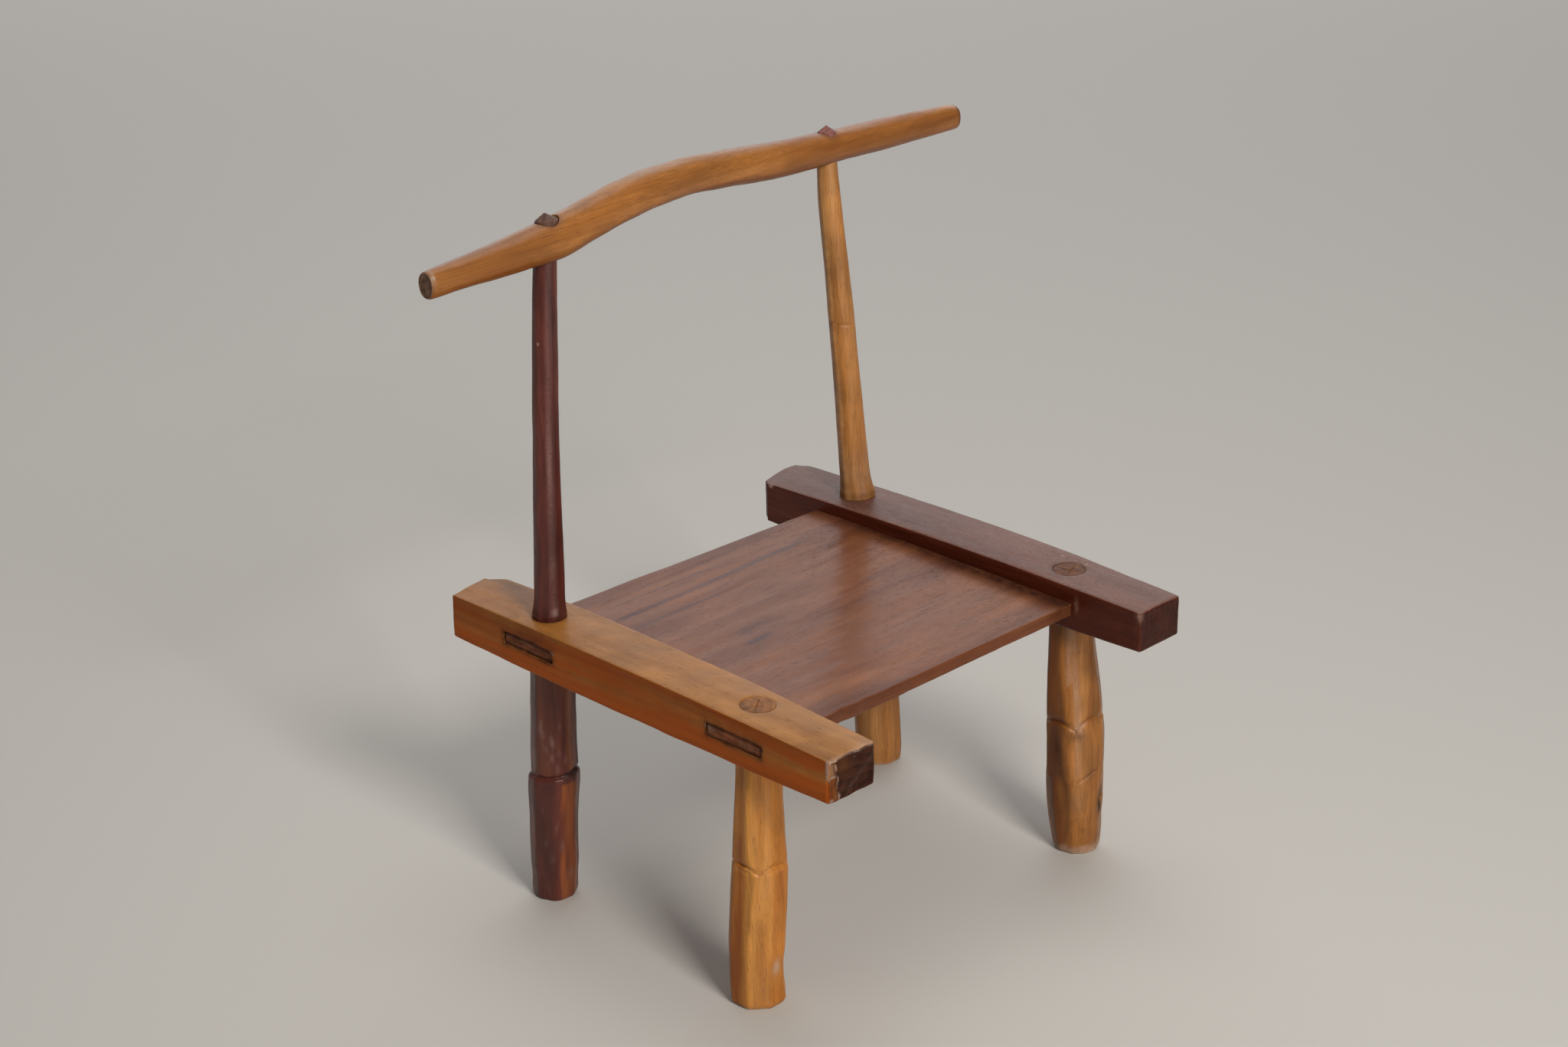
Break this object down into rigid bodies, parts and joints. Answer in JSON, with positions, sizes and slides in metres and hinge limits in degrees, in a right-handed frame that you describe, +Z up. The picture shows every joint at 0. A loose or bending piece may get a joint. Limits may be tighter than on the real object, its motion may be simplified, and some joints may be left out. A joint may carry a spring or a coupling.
{
  "type": "birthing chair",
  "caption": "Low wooden birthing chair: plank seat tenoned into two side rails, faceted legs, rear posts carrying an arched crest rail.",
  "frame": {"origin": "centre of the chair's outer box on the floor it stands on", "axes": "+Z up, -Y the way the sitter faces, +X towards the dark rail, along the crest rail"},
  "size_m": [0.6181, 0.4508, 0.6149],
  "materials": {
    "seat_wood": "satin",
    "light_rail_wood": "satin",
    "dark_rail_wood": "satin",
    "golden_leg_wood": "satin",
    "red_stick_wood": "satin",
    "golden_stick_wood": "satin",
    "crest_wood": "satin"
  },
  "bodies": {
    "root": {"seat_board": "seat_wood", "left_rail": "light_rail_wood", "right_rail": "dark_rail_wood", "left_front_leg": "golden_leg_wood", "right_front_leg": "golden_leg_wood", "left_rear_leg_post": "red_stick_wood", "right_rear_leg_post": "golden_stick_wood", "crest_rail": "crest_wood"}
  },
  "joints": []
}
